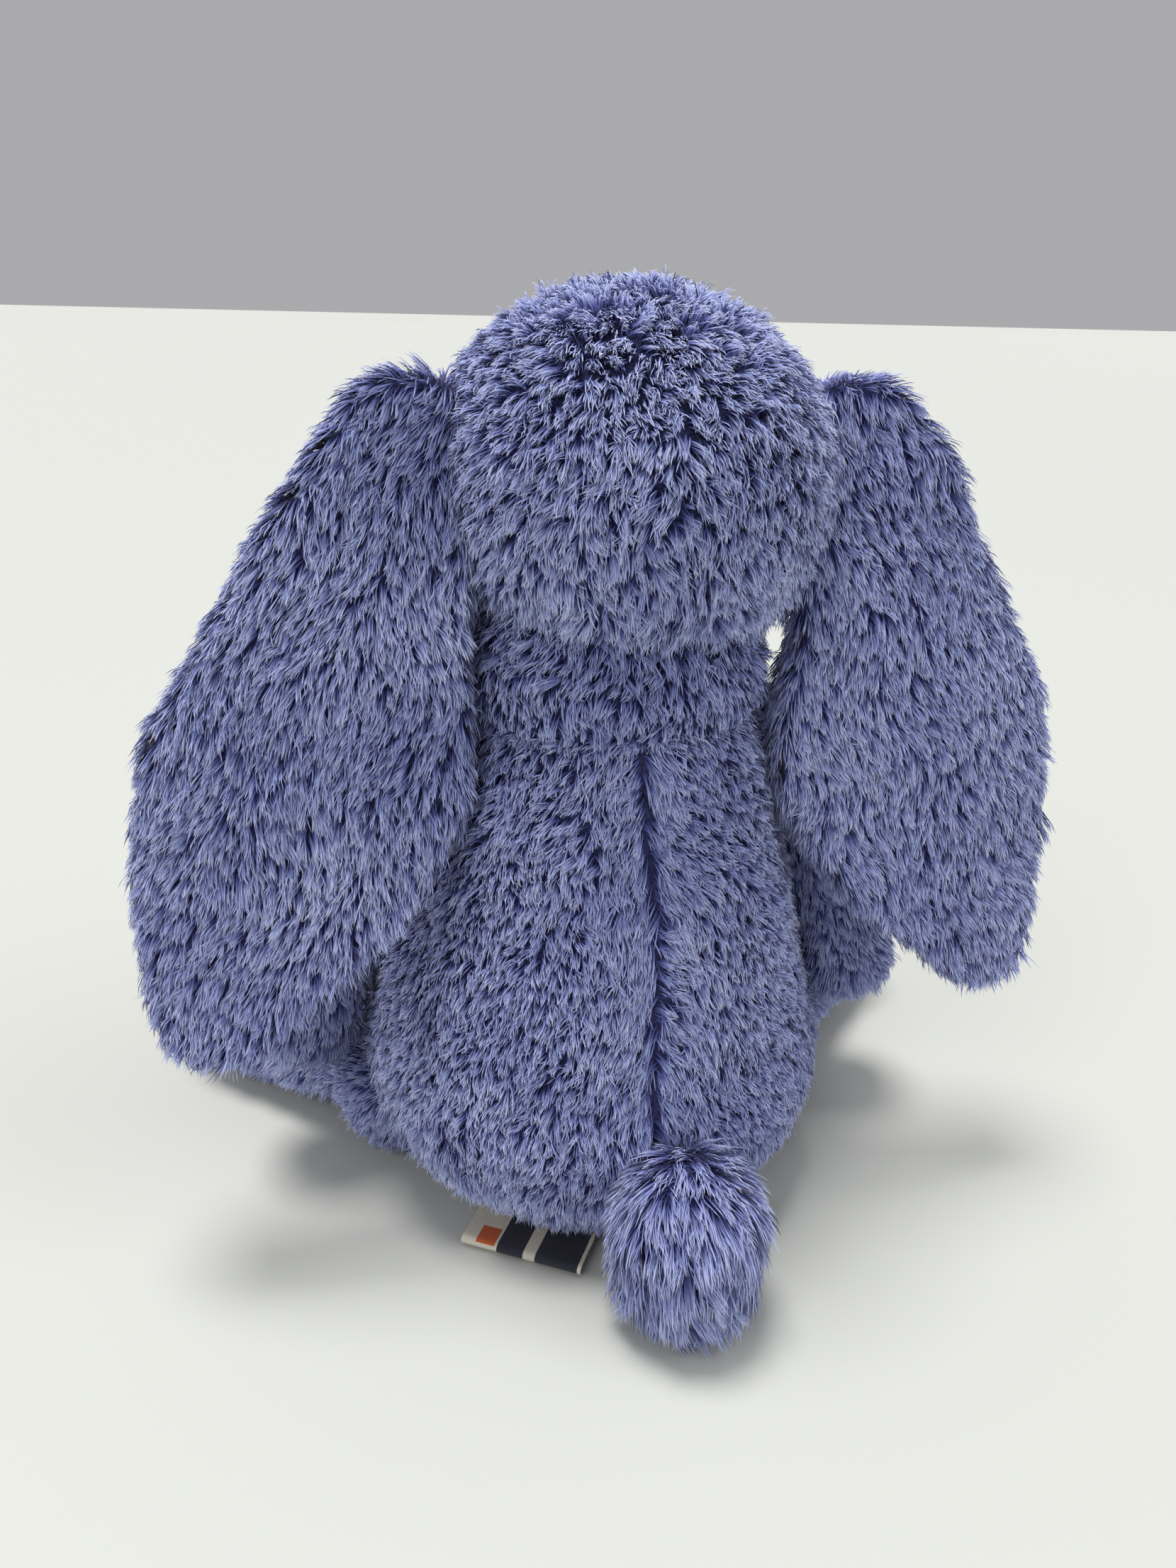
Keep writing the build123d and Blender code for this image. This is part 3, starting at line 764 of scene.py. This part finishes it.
def label_material():
    """Cream tape with a charcoal block, a cream band across it and one small orange patch."""
    made, tree, main = shader("label_tape", Roughness=0.85, Sheen_Weight=0.1)
    uv = tree.nodes.new("ShaderNodeUVMap")
    uv.uv_map = "OFBake"
    split = tree.nodes.new("ShaderNodeSeparateXYZ")
    tree.links.new(uv.outputs["UV"], split.inputs["Vector"])

    def step(source, edge, above=True):
        node = tree.nodes.new("ShaderNodeMath")
        node.operation = "GREATER_THAN" if above else "LESS_THAN"
        node.inputs[1].default_value = edge
        tree.links.new(source, node.inputs[0])
        return node.outputs["Value"]

    def both(a, b):
        node = tree.nodes.new("ShaderNodeMath")
        node.operation = "MULTIPLY"
        tree.links.new(a, node.inputs[0])
        tree.links.new(b, node.inputs[1])
        return node.outputs["Value"]

    def over(colour, base, mask):
        node = tree.nodes.new("ShaderNodeMix")
        node.data_type = "RGBA"
        node.inputs["A"].default_value = (*base, 1) if isinstance(base, tuple) else (0, 0, 0, 1)
        if not isinstance(base, tuple):
            tree.links.new(base, node.inputs["A"])
        node.inputs["B"].default_value = (*colour, 1)
        tree.links.new(mask, node.inputs["Factor"])
        return node.outputs["Result"]

    x, y = split.outputs["X"], split.outputs["Y"]
    charcoal = both(step(x, 0.30), step(x, 0.97, False))
    band = both(step(x, 0.52), step(x, 0.62, False))
    orange = both(both(step(x, 0.12), step(x, 0.28, False)), both(step(y, 0.52), step(y, 0.66, False)))
    colour = over(rgb(44, 46, 58), rgb(226, 220, 204), charcoal)
    colour = over(rgb(222, 216, 202), colour, band)
    colour = over(rgb(206, 98, 52), colour, orange)
    tree.links.new(colour, main.inputs["Base Color"])
    weave = tree.nodes.new("ShaderNodeTexWave")
    weave.inputs["Scale"].default_value = 900
    place = tree.nodes.new("ShaderNodeTexCoord")
    tree.links.new(place.outputs["Object"], weave.inputs["Vector"])
    bump = tree.nodes.new("ShaderNodeBump")
    bump.inputs["Distance"].default_value = 0.1 * MM
    tree.links.new(weave.outputs["Fac"], bump.inputs["Height"])
    tree.links.new(bump.outputs["Normal"], main.inputs["Normal"])
    return made


LABEL_ANGLE = math.radians(57)     # from +X towards +Y
LABEL_ROOT = 39.3 * MM             # where it is sewn on, from the middle of the seat
LABEL_W, LABEL_REACH, LEAF_REACH = 34 * MM, 22 * MM, 15 * MM
FOLD_R, FOLD_Z = 1.3 * MM, 2.2 * MM
label_way = np.array([math.cos(LABEL_ANGLE), math.sin(LABEL_ANGLE), 0.0])
root = label_way * LABEL_ROOT
arc = [(LABEL_REACH - 1.6 * MM + FOLD_R * math.sin(a), FOLD_Z - FOLD_R * math.cos(a))
       for a in np.linspace(0.0, math.pi, 9)]
label, label_length = strip("sewn_label_tape", root, label_way, LABEL_W,
                            [(0.0, 0.9 * MM), (12 * MM, 0.7 * MM), *arc, (12 * MM, 3.4 * MM),
                             (0.0, 4.6 * MM)])
label.data.materials.append(label_material())
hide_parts("sewn_label")
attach(label, "torso")
leaf, leaf_length = strip("label_care_leaf", root, label_way, LABEL_W - 2 * MM,
                          [(0.0, 2.0 * MM), (8 * MM, 2.0 * MM), (LEAF_REACH, 2.4 * MM)])
leaf.data.materials.append(POUCH)
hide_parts("label_leaf")
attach(leaf, "torso")

# ---------------------------------------------------------------- floor and light
def stage_material():
    made, tree, main = shader("pale_table", Roughness=0.6)
    noise = tree.nodes.new("ShaderNodeTexNoise")
    noise.inputs["Scale"].default_value = 3
    colour = ramp(tree, ((0.3, rgb(204, 206, 201)), (0.7, rgb(210, 212, 207))), noise.outputs["Fac"])
    tree.links.new(colour, main.inputs["Base Color"])
    return made


FLOOR_HALF = 40.0
floor_mesh = bpy.data.meshes.new("table")
floor_mesh.from_pydata([(-1.0, -1.0, 0.0), (1.0, -1.0, 0.0), (1.0, 1.0, 0.0), (-1.0, 1.0, 0.0)],
                       [], [(0, 1, 2, 3)])
floor_mesh.transform(Matrix.Scale(FLOOR_HALF, 4))
floor_mesh.materials.append(stage_material())
floor = new_object("table", floor_mesh)


def lamp(name, place, spread, power, colour):
    """A distant lamp in the direction of a place, spread over some degrees of the sky."""
    data = bpy.data.lights.new(name, "SUN")
    data.angle = math.radians(spread)
    data.energy = power
    data.color = colour
    made = bpy.data.objects.new(name, data)
    bpy.context.scene.collection.objects.link(made)
    made.rotation_mode = "QUATERNION"
    made.rotation_quaternion = (-Vector(place)).to_track_quat("-Z", "Y")
    return made


lamp("key", (0.12, -0.1, 1.0), 22, 2.5, (1.0, 0.985, 0.96))
lamp("left", (0.8, 0.75, 0.9), 30, 0.55, (1.0, 0.99, 0.97))
lamp("right", (-0.8, 0.5, 1.0), 30, 0.45, (0.96, 0.98, 1.0))

world = bpy.data.worlds.new("studio")
bpy.context.scene.world = world
world.use_nodes = True
sky = world.node_tree.nodes["Background"].inputs
sky["Color"].default_value = (*rgb(214, 214, 217), 1)
sky["Strength"].default_value = 0.6

# ---------------------------------------------------------------- camera
AZIMUTH, ELEVATION, ROLL = (math.radians(v) for v in (165.0, 21.9, 1.4))
DISTANCE = 0.3237
TARGET = Vector((0.0039, 0.0, 0.1151))
FOCAL_SHARE = 1662 / 2212     # the focal length, as a share of the picture's height
SENSOR = 36.0                 # the picture's height on the sensor, in mm
back = Vector((math.sin(AZIMUTH) * math.cos(ELEVATION), -math.cos(AZIMUTH) * math.cos(ELEVATION),
               math.sin(ELEVATION)))
right = (-back).cross(Vector((0, 0, 1))).normalized()
up = right.cross(-back)
right_rolled = right * math.cos(ROLL) + up * math.sin(ROLL)
up_rolled = up * math.cos(ROLL) - right * math.sin(ROLL)
camera_data = bpy.data.cameras.new("photo_view")
camera_data.sensor_width = SENSOR
camera_data.lens = SENSOR * FOCAL_SHARE
camera_data.clip_start = 0.01
camera = bpy.data.objects.new("photo_view", camera_data)
bpy.context.scene.collection.objects.link(camera)
turn = Matrix((right_rolled, up_rolled, back)).transposed().to_4x4()
camera.matrix_world = Matrix.Translation(TARGET + back * DISTANCE) @ turn
bpy.context.scene.camera = camera
bpy.context.scene.view_settings.view_transform = "Standard"

bpy.context.view_layer.update()
